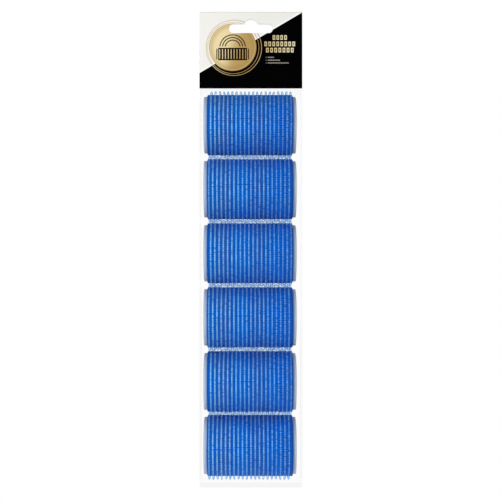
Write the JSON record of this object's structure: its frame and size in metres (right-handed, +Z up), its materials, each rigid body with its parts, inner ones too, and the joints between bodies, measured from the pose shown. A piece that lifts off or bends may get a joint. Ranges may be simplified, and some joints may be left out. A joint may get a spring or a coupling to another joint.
{
  "type": "hair roller",
  "caption": "Hanging retail pack of self-gripping hair rollers: blue hook-covered sleeves on open plastic cores, in a clear film bag under a folded header card with a euro slot.",
  "frame": {"origin": "top of the rounded rise of the header card's hang slot, in the pack's mid-plane, where a display peg bears", "axes": "+X to the right along the rollers' axes, -Y is the front of the pack, +Z up"},
  "size_m": [0.071, 0.047, 0.3288],
  "materials": {
    "printed_card": "satin",
    "hot_melt_glue": "satin",
    "clear_film": "gloss",
    "core_plastic": "satin",
    "blue_weave": "matte",
    "blue_hooks": "satin"
  },
  "bodies": {
    "pack": {"header_card": "printed_card", "glue_strip_front": "hot_melt_glue", "glue_strip_back": "hot_melt_glue", "film_front": "clear_film", "film_back": "clear_film"},
    "roller_1": {"roller_1_core": "core_plastic", "roller_1_sleeve": "blue_weave", "roller_1_hooks": "blue_hooks"},
    "roller_2": {"roller_2_core": "core_plastic", "roller_2_sleeve": "blue_weave", "roller_2_hooks": "blue_hooks"},
    "roller_3": {"roller_3_core": "core_plastic", "roller_3_sleeve": "blue_weave", "roller_3_hooks": "blue_hooks"},
    "roller_4": {"roller_4_core": "core_plastic", "roller_4_sleeve": "blue_weave", "roller_4_hooks": "blue_hooks"},
    "roller_5": {"roller_5_core": "core_plastic", "roller_5_sleeve": "blue_weave", "roller_5_hooks": "blue_hooks"},
    "roller_6": {"roller_6_core": "core_plastic", "roller_6_sleeve": "blue_weave", "roller_6_hooks": "blue_hooks"}
  },
  "joints": [
    {"name": "roller_1_spin", "type": "hinge", "parent": "pack", "child": "roller_1", "pos_m": [-0.0006, 0, -0.0732], "axis": [1, 0, 0], "continuous": true},
    {"name": "roller_2_spin", "type": "hinge", "parent": "pack", "child": "roller_2", "pos_m": [-0.0006, 0, -0.11745], "axis": [1, 0, 0], "continuous": true},
    {"name": "roller_3_spin", "type": "hinge", "parent": "pack", "child": "roller_3", "pos_m": [-0.0006, 0, -0.1617], "axis": [1, 0, 0], "continuous": true},
    {"name": "roller_4_spin", "type": "hinge", "parent": "pack", "child": "roller_4", "pos_m": [-0.0006, 0, -0.20595], "axis": [1, 0, 0], "continuous": true},
    {"name": "roller_5_spin", "type": "hinge", "parent": "pack", "child": "roller_5", "pos_m": [-0.0006, 0, -0.2502], "axis": [1, 0, 0], "continuous": true},
    {"name": "roller_6_spin", "type": "hinge", "parent": "pack", "child": "roller_6", "pos_m": [-0.0006, 0, -0.29445], "axis": [1, 0, 0], "continuous": true}
  ]
}
